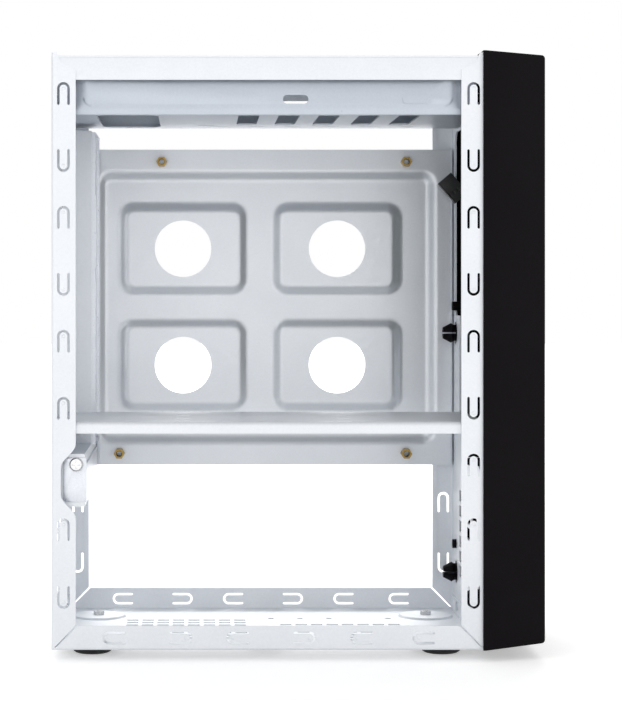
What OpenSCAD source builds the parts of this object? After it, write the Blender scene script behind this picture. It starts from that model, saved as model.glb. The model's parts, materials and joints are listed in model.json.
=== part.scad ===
// Small tower case for a mini-ITX board, open at its near side.
// Case frame used by every module: x runs from the rear wall to the front, y from the open near side
// to the far side, z up from the underside of the floor. place() moves it to the row frame, whose
// origin is the centre of the footprint at the level of the ground.

/* [Case] */
// Length of the steel frame, rear wall to front wall
case_len = 210.5; // [205:0.5:260]
// Width of the steel frame, open side to far side
case_w = 130; // [126:1:170]
// Height of the steel frame
case_h = 288.2; // [285:0.2:340]
// Thickness of the sheet
sheet_t = 0.8; // [0.6:0.1:1.0]
// Outer radius of the folds
fold_r = 1.4; // [1.2:0.1:2]
// Width of the flanges around both sides
flange_w = 11.8; // [11:0.2:14]
// Width of the hem that is folded back along each upright flange
hem_w = 2.5; // [1.5:0.1:2.8]
// Gap of the mitres between two flanges
mitre_gap = 1; // [0.6:0.1:1.6]
// Height of the tabs that join floor and roof to the walls
tab_h = 9; // [8:0.5:10]
// Height of the ears on the upright flanges above the roof
ear_h = 1.4; // [0:0.1:1.8]
// Distance of the tabs from the sides
tab_inset = 4; // [3:0.5:8]

/* [Contact fingers] */
// Outer width of a U-shaped cut
finger_w = 6.2; // [5:0.1:6.6]
// Length of a U-shaped cut
finger_len = 11; // [9:0.5:12]
// Width of the cut itself
finger_cut = 1.25; // [0.8:0.05:1.6]
// Mean pitch of the cuts
finger_pitch = 30; // [28:0.5:32]
// Shift of every second cut
finger_shift = 2.5; // [0:0.5:4]
// First cut from the roof, and from the rear wall on the floor
finger_top = 18.5; // [17:0.2:20]
// Lowest upright cut from the floor
finger_low = 25.5; // [20:0.5:27]
// Second upright cut from the floor
finger_second = 58.4; // [50:0.2:62]

/* [Rear recess] */
// Depth of the recess behind the rear wall
recess_in = 16; // [14:0.2:20]
// Near side of the port aperture, in from the board tray's face
port_back = 50.7; // [50.4:0.1:56]
// Top of the port recess
port_top = 256.6; // [252:0.2:257]
// Near face of the slot recess, from the open side
slot_y = 5; // [4.5:0.1:7]
// Bottom of the slot recess
slot_low = 69; // [66:0.5:71]
// Top of the slot recess
slot_top = 94.7; // [94:0.1:95]
// Length of the port aperture
port_len = 158.75; // [158:0.25:159]
// Width of the port aperture
port_w = 44.45; // [44:0.05:45]
// Distance from the tray to the port aperture
port_gap = 4.25; // [3:0.05:5]
// Distance of the aperture from the top of the port recess
port_rim = 2.1; // [1.8:0.1:3]
// Width of the port plate's overlap on the recess
shield_lap = 1.4; // [1:0.1:2]
// Thickness of the port plate
shield_t = 0.4; // [0.3:0.1:0.6]

/* [Board tray] */
// Board tray's face in from the case's far side
tray_off = 6; // [5:0.5:9]
// Height of the tray's lower edge
tray_low = 79.2; // [78:0.1:80]
// Height of the tray
tray_h = 170.6; // [169:0.2:172]
// Gap between the tray and the front wall
tray_gap = 0.5; // [0.3:0.1:1]
// Depth of the large embossed field
field_in = 3; // [2:0.1:3.4]
// Height of the four raised pads in it
pad_out = 2.6; // [1.5:0.1:2.6]
// Width of the embossed slopes
slope_w = 5; // [3:0.1:5.4]
// Corner radius of the large field
field_r = 7.5; // [6:0.5:9]
// Length of a pad along the case
pad_len = 70.5; // [60:0.5:72]
// Height of a pad
pad_h = 50.6; // [44:0.2:52]
// Corner radius of a pad
pad_r = 8.7; // [7:0.1:10]
// Pitch of the pads along the case
pad_pitch_x = 83.4; // [82:0.1:85]
// Pitch of the pads in height
pad_pitch_z = 63; // [61:0.5:65]
// Diameter of the round window in each pad
window_d = 30.6; // [20:0.2:34]

/* [Board fixing] */
// Hole spacing of the board along the case
board_x = 154.94; // [154.94]
// Hole spacing of the board in height
board_z = 157.48; // [157.48]
// Forward shift of the upper rear hole
board_shift = 22.86; // [22.86]
// Rear hole column from the rear wall
board_rear = 28.7; // [28.4:0.1:30]
// Lower hole row above the tray's lower edge
board_low = 6.35; // [6:0.05:6.6]
// Height of a standoff
standoff_h = 6.35; // [6:0.05:8]
// Width across the flats of a standoff
standoff_af = 5; // [4.5:0.1:5.5]
// Radius of a standoff's threaded hole
standoff_r = 1.5; // [1.4:0.05:1.6]
// Radius of a standoff's stem
stem_r = 1.9; // [1.8:0.05:2.1]

/* [Drive space] */
// Top face of the drive shelf below the case's top
shelf_drop = 28.3; // [27.7:0.1:29.2]
// Near edge of the drive shelf
shelf_y = 6; // [5:0.5:8]
// Depth of the drive shelf
shelf_d = 99; // [90:0.5:100]
// Top of the cross brace
brace_z = 110.7; // [109.9:0.1:111]
// Near edge of the cross brace
brace_y = 2; // [2:0.1:4]
// Depth of the cross brace
brace_d = 76; // [70:0.2:80]
// Height of the cross brace's front fold
brace_lip = 5.9; // [5:0.1:8]
// Radius of the cross brace's front fold
brace_r = 2.4; // [1.2:0.1:2.8]

/* [Front wall] */
// Top of the front wall's opening, below the drive shelf
open_under = 1.3; // [0.8:0.1:4]
// Step between the wide and the narrow opening
open_step = 170.3; // [166:0.1:172]
// Bottom of the lower opening
open_low = 106.4; // [106:0.2:107]
// Near edge of both openings
open_near = 8; // [7:0.5:10]
// Far side of the front wall's opening, in from the case's far side
open_back = 12.5; // [12:0.5:14]
// Far edge of the lower opening
open_mid = 99; // [90:0.5:100]
// Radius of the holes for the bezel's snaps
snap_hole_r = 6; // [5.5:0.1:6.5]

/* [Vents] */
// Pitch of the vent slots
vent_pitch = 8; // [7:0.5:9]
// Length of a floor slot
vent_len = 6; // [4:0.5:6.5]
// Width of a floor slot
vent_w = 4; // [2:0.5:5]
// Length of a wall slot
wall_vent_len = 21; // [12:1:22]

/* [Feet] */
// Height of the feet below the floor
foot_h = 5.8; // [4:0.2:10]
// Radius of a foot
foot_r = 10.4; // [8:0.2:12]
// Distance of the feet from the walls
foot_x = 18.6; // [16:0.2:22]
// Distance of the feet from the sides
foot_y = 29.2; // [24:0.2:32]
// Radius of the pressed boss above a foot
boss_r = 14.5; // [13:0.1:15]
// Height of the pressed boss
boss_h = 1; // [0.6:0.1:1.5]

/* [Front bezel] */
// Length of the bezel in front of the frame
bezel_len = 30; // [29:0.5:36]
// Overlap of the bezel on the frame
bezel_lap = 1.3; // [1:0.1:2]
// Distance of the bezel outside the frame's sides
bezel_out = 1.5; // [1:0.1:2]
// Distance of the bezel above the frame's roof
bezel_over = 2.3; // [1.5:0.1:3]
// Fall of the bezel's top towards its front
bezel_fall = 1.7; // [0:0.1:3]
// Rise of the bezel's underside towards its front
bezel_drop = 2.4; // [0:0.1:4]
// Inward slope of the bezel's sides
bezel_taper = 8.5; // [4:0.5:9]
// Wall of the bezel
bezel_wall = 2.4; // [2:0.1:3]
// Edge radius of the bezel's front
bezel_r = 2; // [1.5:0.5:5]
// Width of the bay opening in the bezel
bay_w = 42; // [41:0.5:43]
// Near edge of the bay opening, from the open side
bay_y = 16; // [15:0.5:18]
// Clearance around the bay's blank
bay_gap = 0.3; // [0.2:0.05:0.5]

/* [Front controls] */
// Centre of the controls, from the open side
control_y = 90; // [88:1:94]
// Height of the power button
power_z = 236; // [232:1:240]
// Radius of the power button
power_r = 8.5; // [6:0.5:9]
// Height of the reset button
reset_z = 212; // [208:1:214]
// Radius of the reset button
reset_r = 3.5; // [2.5:0.5:4]
// Height of the buttons above the bezel's face
button_out = 1; // [0.4:0.1:2]
// Clearance around the moving pieces
move_gap = 0.3; // [0.2:0.05:0.4]
// Travel of the buttons
travel = 1.2; // [0.8:0.1:1.6]
// Radius of the indicator lenses
lens_r = 1.5; // [1:0.1:2]
// Gap around the lenses
lens_gap = 0.05; // [0.02:0.01:0.1]

/* [Hidden] */
// Places that follow the case's size
tray_y = case_w - tray_off;
shelf_z = case_h - shelf_drop;
port_y = tray_y - port_back;
open_far = case_w - open_back;
open_top = shelf_z - open_under;
$fn = 48;
eps = 0.01;

steel = "lightsteelblue";
dark = "dimgray";

tray_skirt = case_w - sheet_t - tray_y;

// Rivets: shank and head, and the clearance of their holes
rivet_r = 1.3;
head_r = 2.4;
head_h = 0.7;
small_head_r = (tray_skirt - sheet_t) / 2 - 0.1;
hole_gap = 0.02;

// Inner faces of the walls
rear_in = sheet_t;
front_in = case_len - sheet_t;
flange_mid = flange_w / 2;

// Centre of the whole part along the case: rivet heads stand out at the rear
origin_x = (case_len + bezel_len + button_out - head_h) / 2;

// Tray and its pads
tray_x0 = recess_in;
tray_x1 = front_in - tray_gap;
field_x0 = tray_x0 + sheet_t;
field_x1 = tray_x1 - 8.8;
field_z0 = tray_low + 10.9;
field_z1 = tray_low + tray_h - 11.4;
pads_x = (field_x0 + field_x1) / 2 - 3.8;
pads_z = (field_z0 + field_z1) / 2 + 0.4;
foot_flange = 6.4;

// Board holes as [x, z], in the order of the standoffs
board_z0 = tray_low + board_low;
board_holes = [
    [board_rear, board_z0],
    [board_rear + board_x, board_z0],
    [board_rear + board_shift, board_z0 + board_z],
    [board_rear + board_x, board_z0 + board_z]
];

// Port aperture and slot bracket
port_far = tray_y - port_gap;
port_z1 = port_top - port_rim;
bracket_w = 18.4;
bracket_t = 0.86;
bracket_z0 = slot_low + 2.4;
tab_w = 21.6;
bracket_end = 118;
slot_screw_x = 11.9;
slot_screw_z = bracket_z0 + tab_w - 3.3;
slot_screw_r = 1.55;
tab_x0 = 5.6;

// Rows of rivets: across the case for the end tabs, and in height for the tray
tab_rivets = [28, case_w / 2, case_w - 28];
tab_rivet_z = 6;
shelf_rivets = [shelf_y + 26, shelf_y + shelf_d - 14];
shelf_rivet_z = shelf_z + 6;
brace_rivets = [14, 46];
brace_rivet_z = brace_z - 7.9;
tray_rivets = [21, 84, 144];

// Drive of 2.5 inches on the floor
disk_x = 61.72;
disk_y = 76.6;
disk_mid = 140.4;
disk_far = 93.2;
disk_hole_r = 1.7;

// Vents of the floor and the walls
floor_vent_x = [34, 113.6];
floor_vent_rows = [8, 7];
floor_vent_far = [89.5, 75];
wall_vent_rows = 6;
wall_vent_h = 6;
wall_vent_z = 22.2;
wall_vent_far = 99.4;
wall_vent_gap = 4;

// Inlet for direct current at the rear, and the screws of the side covers
inlet_r = 4;
inlet_y = 30;
inlet_z = 130;
cover_hole_r = 1.6;
cover_hole_in = 6.5;
cover_hole_z = [40, case_h - 22];

// Snaps of the bezel as [y, z], pegs beside them, and their sizes
snaps = [[115, 150.8], [113.5, 22.8], [16.5, 22.8], [16.5, 92], [115, 271], [15, 271]];
pegs = [[115, 165.3], [113.5, 37.8]];
snap_r = 5.3;
snap_reach = 7;
snap_slit = 1;
neck_r = 4.4;
peg_r = 2.4;
peg_gap = 0.15;
peg_reach = 2;

// Bezel faces
bezel_x0 = case_len - bezel_lap;
bezel_x1 = case_len + bezel_len;
inner_r_min = 0.4;
bezel_face = bezel_x1 - bezel_wall;
bay_z0 = brace_z + 1;
bay_z1 = shelf_z - 1;

// Front board and what it carries
board_t = 1.6;
board_face = bezel_face - 11;
board_y0 = 74;
board_y1 = 106;
board_low_z = 112;
board_top_z = 246;
usb_z = [186, 168];
usb_w = 13.1;
usb_h = 5.7;
usb_wall = 0.5;
usb_out = 1.6;
jack_z = [148, 132];
jack_r = 3;
jack_bore = 1.8;
lens_z = [reset_z - 9.8, reset_z - 16];
switch_w = 7;
switch_h = 5;
stem_in = 1.2;
button_stem_r = 1.6;
flange_t = 1.5;
post_r = 3;
post_z = [board_low_z + 6, reset_z + 9.6];
screw_r = 1.2;

// Lead of the front ports. The route is chosen by hand, in the case frame
lead_r = 1.3;
lead_sides = 8;
lead_route = [for (p = [
    [14.5, 96, 128], [10.5, 96, 128], [7.2, 97, 125.5], [5.6, 98.5, 119], [5.1, 99.8, 111],
    [5, 100.3, 101], [5, 100.3, 91], [5, 101.6, 82], [5, 106, 76.5], [5, 110.4, 79], [5, 111.8, 86],
    [5, 111.9, 94], [5, 111.2, 103], [5, 109.5, 112], [5, 107.3, 121], [4.9, 105.8, 131],
    [4.7, 105, 141], [4.4, 105, 151], [3.9, 106, 161], [3.3, 107.6, 171], [2.8, 109.2, 181],
    [2.6, 110.6, 191], [3, 111.6, 201], [4, 112, 209], [4.6, 112, 214], [4.65, 112, 217],
    [4.2, 112, 219.6], [3.1, 112, 221.6], [1.8, 112, 223.1]]) p + [case_len, 0, 0]];
header_size = [9, 5];
plug_size = [9, 5, 14];
plug_windows = 4;
window_pitch = 2.54;
clip_z = 96;
clip_t = 1.2;
clip_y = 97.6;
clip_w = 17;
clip_out = 7.6;

// Moves a piece from the case frame to the row frame
module place() {
    translate([-origin_x, -case_w / 2, foot_h]) children();
}

// Rounded rectangle with exact arcs, from the origin corner
module round_rect(w, h, r) {
    translate([r, 0]) square([w - 2 * r, h]);
    translate([0, r]) square([w, h - 2 * r]);
    for (x = [r, w - r], y = [r, h - r]) {
        translate([x, y]) circle(r);
    }
}

// Section of a folded channel: web at the left, open to the right
module channel_section(web, legs, r) {
    difference() {
        channel_half(web, legs, r);
        translate([sheet_t, sheet_t]) channel_half(web - 2 * sheet_t, legs, r - sheet_t);
    }
}

module channel_half(web, legs, r) {
    translate([r, 0]) square([legs - r, web]);
    translate([0, r]) square([r + eps, web - 2 * r]);
    for (y = [r, web - r]) {
        translate([r, y]) circle(r);
    }
}

// Upright wall: web at x = 0, flanges towards +x on both sides, hems folded back inside
module wall_channel(height) {
    linear_extrude(height) channel_section(case_w, flange_w, fold_r);
}

// Block across a flange and its hem on one side, from a section in the x-z plane
module through_y(y0, y1) {
    translate([0, y1, 0]) rotate([90, 0, 0]) linear_extrude(y1 - y0) children();
}

// Block along x from a section in the y-z plane
module through_x(x0, x1) {
    translate([x0, 0, 0]) rotate([90, 0, 90]) linear_extrude(x1 - x0) children();
}

// U-shaped cut around a contact finger, arc towards +y, centred
module finger_2d() {
    arc_r = finger_w / 2;
    arc_y = finger_len / 2 - arc_r;
    leg = finger_len - arc_r - finger_cut / 2;
    difference() {
        union() {
            translate([0, arc_y]) circle(arc_r);
            translate([-arc_r, arc_y - leg]) square([finger_w, leg]);
        }
        translate([0, arc_y]) circle(arc_r - finger_cut);
        translate([finger_cut - arc_r, arc_y - leg - 1]) square([finger_w - 2 * finger_cut, leg + 1]);
    }
    for (side = [-1, 1]) {
        translate([side * (arc_r - finger_cut / 2), arc_y - leg]) circle(finger_cut / 2);
    }
}

function finger_at(k) = finger_pitch * k + (k % 2 == 1 ? finger_shift : 0);

// Upright fingers of a wall: a run from the roof down, and a pair above the floor
module wall_fingers(count, last_up) {
    for (k = [0 : count - 1]) {
        up = k % 2 == 0 || (last_up && k == count - 1);
        translate([flange_mid, case_h - finger_top - finger_at(k)]) rotate(up ? 0 : 180) finger_2d();
    }
    translate([flange_mid, finger_second]) finger_2d();
    translate([flange_mid, finger_low]) rotate(180) finger_2d();
}

// Fingers along the floor's flange, from the rear wall on
module floor_fingers() {
    for (k = [0 : 4]) {
        translate([finger_top + 11.8 + finger_at(k), flange_mid]) rotate(k % 2 == 0 ? 90 : 270) finger_2d();
    }
    translate([finger_top + 11.8 + finger_at(5) - finger_shift, flange_mid]) rotate(90) finger_2d();
}

// What the ends of an upright flange lose: the mitre at the floor and the slope at the roof
module flange_ends_2d() {
    far = flange_w + 2;
    polygon([[far, -1], [far, far + mitre_gap / 2], [fold_r, fold_r], [sheet_t, fold_r], [sheet_t, -1]]);
    polygon([[2.4, case_h + 3], [3, case_h + 0.7], [4.5, case_h - 3], [far, case_h - 8], [far, case_h + 3]]);
}

// Outline of the notch in the near rear flange that clears the slot screw, with S-shaped ends
function ease(t) = (1 - cos(180 * t)) / 2;
notch_low = slot_low - 5.2;
notch_high = slot_top + 5.1;
notch_run = 11.5;
notch_deep = 4.6;
module notch_2d() {
    steps = 8;
    lower = [for (i = [0 : steps])
        [flange_w - (flange_w - notch_deep) * ease(i / steps), notch_low + notch_run * i / steps]];
    upper = [for (i = [0 : steps])
        [notch_deep + (flange_w - notch_deep) * ease(i / steps), notch_high - notch_run * (1 - i / steps)]];
    polygon(concat([[flange_w + 1, notch_low]], lower, upper, [[flange_w + 1, notch_high]]));
}

// Hem of an upright flange, between two heights, inside the given face
module hem(x0, z0, z1, y0) {
    translate([x0, y0, z0]) cube([hem_w, sheet_t, z1 - z0]);
}

// Row of long slots through an upright wall, in the y-z plane
module wall_vents_2d() {
    for (row = [0 : wall_vent_rows - 1], column = [0 : 2]) {
        far = wall_vent_far - column * (wall_vent_len + wall_vent_gap);
        translate([far - wall_vent_len, wall_vent_z + row * vent_pitch])
            round_rect(wall_vent_len, wall_vent_h, 0.6);
    }
}

// Rivet along x through a stack that starts at x0
module rivet_x(x0, stack, head = head_r) {
    translate([x0 - head_h, 0, 0]) rotate([0, 90, 0]) cylinder(h = head_h, r = head);
    translate([x0 - eps, 0, 0]) rotate([0, 90, 0]) cylinder(h = stack + 2 * eps, r = rivet_r);
    translate([x0 + stack, 0, 0]) rotate([0, 90, 0]) cylinder(h = head_h, r1 = head, r2 = head - 0.3);
}

module rivet_hole_x(x0, x1) {
    translate([x0, 0, 0]) rotate([0, 90, 0]) cylinder(h = x1 - x0, r = rivet_r + hole_gap);
}

// Places of the rivets on both end walls
module end_rivet_places() {
    for (y = tab_rivets, z = [tab_rivet_z, case_h - tab_rivet_z]) {
        translate([0, y, z]) children();
    }
}

module inner_end_places() {
    for (y = shelf_rivets) {
        translate([0, y, shelf_rivet_z]) children();
    }
    for (y = brace_rivets) {
        translate([0, y, brace_rivet_z]) children();
    }
}

// Recess block of the rear wall, shrunk by the given wall
module recess_block(wall) {
    open = wall > 0 ? 1 : 0;
    far = case_w - wall;
    translate([-open, slot_y + wall, slot_low + wall])
        cube([recess_in - wall + open, far - slot_y - wall, slot_top - slot_low - 2 * wall]);
    translate([-open, port_y + wall, slot_low + wall])
        cube([recess_in - wall + open, far - port_y - wall, port_top - slot_low - 2 * wall]);
}

module bottom_panel() color(steel) place() {
    x0 = rear_in;
    length = front_in - rear_in;
    difference() {
        union() {
            through_x(x0, x0 + length) translate([0, 0]) rotate(90) mirror([0, 1]) channel_section(case_w,
                flange_w, fold_r);
            for (x = [rear_in, front_in - sheet_t]) {
                translate([x, tab_inset, 0]) cube([sheet_t, case_w - 2 * tab_inset, tab_h]);
            }
            for (x = [foot_x, case_len - foot_x], y = [foot_y, case_w - foot_y]) {
                translate([x, y, sheet_t - eps]) cylinder(h = boss_h + eps, r1 = boss_r, r2 = boss_r - 1);
            }
        }
        for (x = [foot_x, case_len - foot_x], y = [foot_y, case_w - foot_y]) {
            translate([x, y, -eps]) cylinder(h = boss_h + eps, r1 = boss_r - 0.3, r2 = boss_r - 1.3);
            translate([x, y, -1]) cylinder(h = 5, r = screw_r + 0.4);
        }
        for (y0 = [-1, case_w - 5]) {
            through_y(y0, y0 + 6) floor_fingers();
            through_y(y0, y0 + 6) floor_mitres_2d();
        }
        for (group = [0, 1], column = [0 : 7], row = [0 : floor_vent_rows[group] - 1]) {
            translate([floor_vent_x[group] + column * vent_pitch,
                floor_vent_far[group] - vent_w - row * vent_pitch, -1])
                linear_extrude(3) round_rect(vent_len, vent_w, 0.6);
        }
        for (x = [disk_mid - disk_x / 2, disk_mid + disk_x / 2], y = [disk_far, disk_far - disk_y]) {
            translate([x, y, -1]) cylinder(h = 3, r = disk_hole_r);
        }
        for (x = [disk_mid - 15.6, disk_mid - 0.3]) {
            translate([x, disk_far, -1]) cylinder(h = 3, r = disk_hole_r);
        }
        for (y = tab_rivets) {
            translate([0, y, tab_rivet_z]) rivet_hole_x(rear_in - 1, rear_in + sheet_t + 1);
            translate([0, y, tab_rivet_z]) rivet_hole_x(front_in - sheet_t - 1, front_in + 1);
        }
    }
}

// What the floor's flanges lose at both mitred ends
module floor_mitres_2d() {
    far = flange_w + 2;
    polygon([[-1, fold_r], [mitre_gap + fold_r, fold_r], [far + mitre_gap, far], [-1, far]]);
    translate([case_len, 0]) mirror([1, 0])
        polygon([[-1, fold_r], [mitre_gap + fold_r, fold_r], [far + mitre_gap, far], [-1, far]]);
}

module rear_panel() color(steel) place() {
    difference() {
        union() {
            wall_channel(case_h + ear_h);
            hem(flange_w - hem_w, 16, case_h - 18, sheet_t);
            hem(flange_w - hem_w, 16, slot_low - 2, case_w - 2 * sheet_t);
            hem(flange_w - hem_w, port_top + 1, case_h - 18, case_w - 2 * sheet_t);
            recess_block(0);
        }
        recess_block(sheet_t);
        // Roof rests on the web, and the web stops under it
        translate([-1, sheet_t, case_h - sheet_t]) cube([flange_w + 3, case_w - 2 * sheet_t, 4]);
        for (y0 = [-1, case_w - 5]) {
            through_y(y0, y0 + 6) wall_fingers(6, true);
        }
        for (y0 = [-1, case_w - 2.5]) {
            through_y(y0, y0 + 3.5) flange_ends_2d();
        }
        through_y(-1, slot_y - 1) notch_2d();
        // Port aperture, card slot and the screw of its bracket
        translate([recess_in - 2, port_far - port_w, port_z1 - port_len]) cube([4, port_w, port_len]);
        translate([recess_in - 2, slot_y + 7, bracket_z0 + 2.8]) cube([4, bracket_end - slot_y - 12, 12.8]);
        translate([slot_screw_x, slot_y - 1, slot_screw_z]) rotate([-90, 0, 0])
            cylinder(h = 3, r = slot_screw_r + hole_gap);
        through_x(-1, sheet_t + 1) wall_vents_2d();
        end_rivet_places() rivet_hole_x(-1, 2);
        inner_end_places() rivet_hole_x(-1, 2);
        tray_rear_places() rivet_hole_x(recess_in - 2, recess_in + 1);
        translate([-1, inlet_y, inlet_z]) rotate([0, 90, 0]) cylinder(h = 3, r = inlet_r);
        for (y = [cover_hole_in, case_w - cover_hole_in], z = cover_hole_z) {
            translate([-1, y, z]) rotate([0, 90, 0]) cylinder(h = 3, r = cover_hole_r);
        }
    }
}

module front_panel() color(steel) place() {
    difference() {
        translate([case_len, 0, 0]) mirror([1, 0, 0]) difference() {
            union() {
                wall_channel(case_h + ear_h);
                hem(flange_w - hem_w, 16, case_h - 18, sheet_t);
                hem(flange_w - hem_w, 16, case_h - 18, case_w - 2 * sheet_t);
            }
            translate([-1, sheet_t, case_h - sheet_t]) cube([flange_w + 3, case_w - 2 * sheet_t, 4]);
            for (y0 = [-1, case_w - 5]) {
                through_y(y0, y0 + 6) wall_fingers(7, false);
            }
            for (y0 = [-1, case_w - 2.5]) {
                through_y(y0, y0 + 3.5) flange_ends_2d();
            }
        }
        through_x(front_in - 1, case_len + 1) {
            translate([open_near, open_step - 10])
                round_rect(open_far - open_near, open_top - open_step + 10, 6);
            translate([open_near, open_low]) round_rect(open_mid - open_near, open_top - open_low - 20, 4);
            wall_vents_2d();
        }
        for (snap = snaps) {
            translate([front_in - 1, snap[0], snap[1]]) rotate([0, 90, 0]) cylinder(h = 3, r = snap_hole_r);
        }
        for (peg = pegs) {
            translate([front_in - 1, peg[0], peg[1]]) rotate([0, 90, 0])
                cylinder(h = 3, r = peg_r + peg_gap);
        }
        end_rivet_places() rivet_hole_x(front_in - 1, case_len + 1);
        inner_end_places() rivet_hole_x(front_in - 1, case_len + 1);
        tray_front_places() rotate([-90, 0, 0])
            cylinder(h = 3, r = rivet_r + hole_gap);
    }
}

module top_panel() color(steel) place() {
    near = sheet_t;
    width = case_w - 2 * sheet_t;
    difference() {
        union() {
            translate([0, near, case_h - sheet_t]) cube([case_len, width, sheet_t]);
            translate([rear_in + sheet_t, near, case_h])
                mirror([0, 0, 1]) through_x(0, case_len - 4 * sheet_t) rotate(90) mirror([0, 1])
                channel_section(width, flange_w, fold_r);
            for (x = [rear_in, front_in - sheet_t]) {
                translate([x, tab_inset, case_h - tab_h]) cube([sheet_t, case_w - 2 * tab_inset, tab_h]);
            }
        }
        for (y = tab_rivets) {
            translate([0, y, case_h - tab_rivet_z]) rivet_hole_x(rear_in - 1, rear_in + sheet_t + 1);
            translate([0, y, case_h - tab_rivet_z]) rivet_hole_x(front_in - sheet_t - 1, front_in + 1);
        }
    }
}

// Rounded frustum that narrows towards +z, with a straight collar before it
module pan(w, h, deep, slope, r, collar) {
    rotate([90, 0, 0]) translate([0, 0, -(h / 2 - r)]) linear_extrude(h - 2 * r)
        polygon([[-w / 2, 0], [w / 2, 0], [w / 2 - slope, deep], [slope - w / 2, deep]]);
    rotate([90, 0, 90]) translate([0, 0, -(w / 2 - r)]) linear_extrude(w - 2 * r)
        polygon([[-h / 2, 0], [h / 2, 0], [h / 2 - slope, deep], [slope - h / 2, deep]]);
    for (x = [r - w / 2, w / 2 - r], y = [r - h / 2, h / 2 - r]) {
        translate([x, y, 0]) cylinder(h = deep, r1 = r, r2 = r - slope);
    }
    if (collar > 0) {
        translate([-w / 2, -h / 2, -collar]) linear_extrude(collar) round_rect(w, h, r);
    }
}

// Everything behind the pressed face of the tray, from a given level on, in the tray's own frame:
// z runs away from the open side
module behind_face(level) {
    length = tray_x1 - tray_x0;
    back = field_in + sheet_t + 1;
    mid_x = (field_x0 + field_x1) / 2;
    mid_z = (field_z0 + field_z1) / 2;
    difference() {
        translate([tray_x0, tray_low, level]) cube([length, tray_h, back - level]);
        translate([mid_x, mid_z, level])
            pan(field_x1 - field_x0, field_z1 - field_z0, field_in, slope_w, field_r, 1);
    }
    for (x = [-0.5, 0.5], z = [-0.5, 0.5]) {
        translate([pads_x + x * pad_pitch_x, pads_z + z * pad_pitch_z, level + field_in])
            mirror([0, 0, 1]) pan(pad_len, pad_h, pad_out, slope_w, pad_r, back - level - field_in);
    }
}

module tray_rear_places() {
    for (dz = tray_rivets) {
        translate([0, tray_y + (sheet_t + tray_skirt) / 2, tray_low + dz]) children();
    }
}

module tray_front_places() {
    for (dz = tray_rivets) {
        translate([tray_x1 - foot_flange / 2 - 0.4, case_w - sheet_t - 1.5, tray_low + dz]) children();
    }
}

module board_tray() color(steel) place() {
    difference() {
        union() {
            translate([0, tray_y, 0]) mirror([0, 1, 0]) rotate([90, 0, 0]) difference() {
                behind_face(0);
                behind_face(sheet_t);
            }
            for (x = [tray_x0, tray_x1 - sheet_t]) {
                translate([x, tray_y, tray_low]) cube([sheet_t, tray_skirt, tray_h]);
            }
            translate([tray_x1 - foot_flange, case_w - 2 * sheet_t, tray_low])
                cube([foot_flange, sheet_t, tray_h]);
        }
        for (x = [-0.5, 0.5], z = [-0.5, 0.5]) {
            translate([pads_x + x * pad_pitch_x, tray_y - 1, pads_z + z * pad_pitch_z])
                rotate([-90, 0, 0]) cylinder(h = 8, d = window_d, $fn = 72);
        }
        for (hole = board_holes) {
            translate([hole[0], tray_y - 1, hole[1]]) rotate([-90, 0, 0])
                cylinder(h = 3, r = stem_r + hole_gap);
        }
        tray_rear_places() rivet_hole_x(recess_in - 1, recess_in + 2);
        tray_front_places() rotate([-90, 0, 0]) cylinder(h = 3, r = rivet_r + hole_gap);
    }
}

// Shelf under the roof: plate, lip towards the open side and tabs at both ends
shelf_lip_top = case_h - sheet_t - 0.3;
shelf_x0 = rear_in;
shelf_x1 = front_in;
far_lip_h = 12;
cable_cut = [21.3, 10.6, 30.3, 86];
shelf_slot_x = 91;
shelf_slot_pitch = 19.7;
shelf_slot_w = 10.4;
shelf_slot_y = [12, 74.5];
lip_slot_x = 112.4;
lip_slot_z = shelf_z + 5.3;
lip_rib_x = 170.6;

module shelf_lip() {
    lip_w = 181.2;
    lip_h = shelf_lip_top - shelf_z - 7.4;
    rotate([90, 0, 0]) {
        translate([shelf_x0 + 3, shelf_z, -sheet_t]) cube([shelf_x1 - shelf_x0 - 6,
            shelf_lip_top - shelf_z, sheet_t]);
        translate([14.6 + lip_w / 2, shelf_z + 3.4 + lip_h / 2, -eps])
            pan(lip_w, lip_h, 0.8, 1.4, 5, 0);
        translate([lip_rib_x, lip_slot_z, 0]) linear_extrude(1.3) round_rect(13.3, 4.1, 2);
    }
}

module drive_shelf() color(steel) place() {
    difference() {
        union() {
            translate([shelf_x0, shelf_y, shelf_z]) cube([shelf_x1 - shelf_x0, shelf_d, sheet_t]);
            translate([0, shelf_y, 0]) shelf_lip();
            translate([shelf_x0 + 3, shelf_y + shelf_d - sheet_t, shelf_z])
                cube([shelf_x1 - shelf_x0 - 6, sheet_t, far_lip_h]);
            for (x = [shelf_x0, shelf_x1 - sheet_t]) {
                translate([x, shelf_y + 18, shelf_z]) cube([sheet_t, shelf_d - 22, 11]);
            }
        }
        translate([cable_cut[0], cable_cut[1], shelf_z - 1])
            linear_extrude(3) round_rect(cable_cut[2], cable_cut[3], 8);
        for (k = [0 : 4]) {
            translate([shelf_slot_x + k * shelf_slot_pitch, shelf_slot_y[0], shelf_z - 1])
                linear_extrude(3) round_rect(shelf_slot_w, shelf_slot_y[1] - shelf_slot_y[0], 2);
        }
        for (k = [-1 : 4], y = [81, 89]) {
            translate([shelf_slot_x + k * shelf_slot_pitch + (y > 85 ? 6 : 0), y, shelf_z - 1])
                linear_extrude(3) round_rect(8.6, 1.8, 0.6);
        }
        translate([lip_slot_x, shelf_y - 2, lip_slot_z]) through_y(0, 4) round_rect(12.4, 4.2, 2.05);
        for (y = shelf_rivets) {
            translate([0, y, shelf_rivet_z]) rivet_hole_x(shelf_x0 - 1, shelf_x0 + 2);
            translate([0, y, shelf_rivet_z]) rivet_hole_x(shelf_x1 - 2, shelf_x1 + 1);
        }
    }
}

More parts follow.
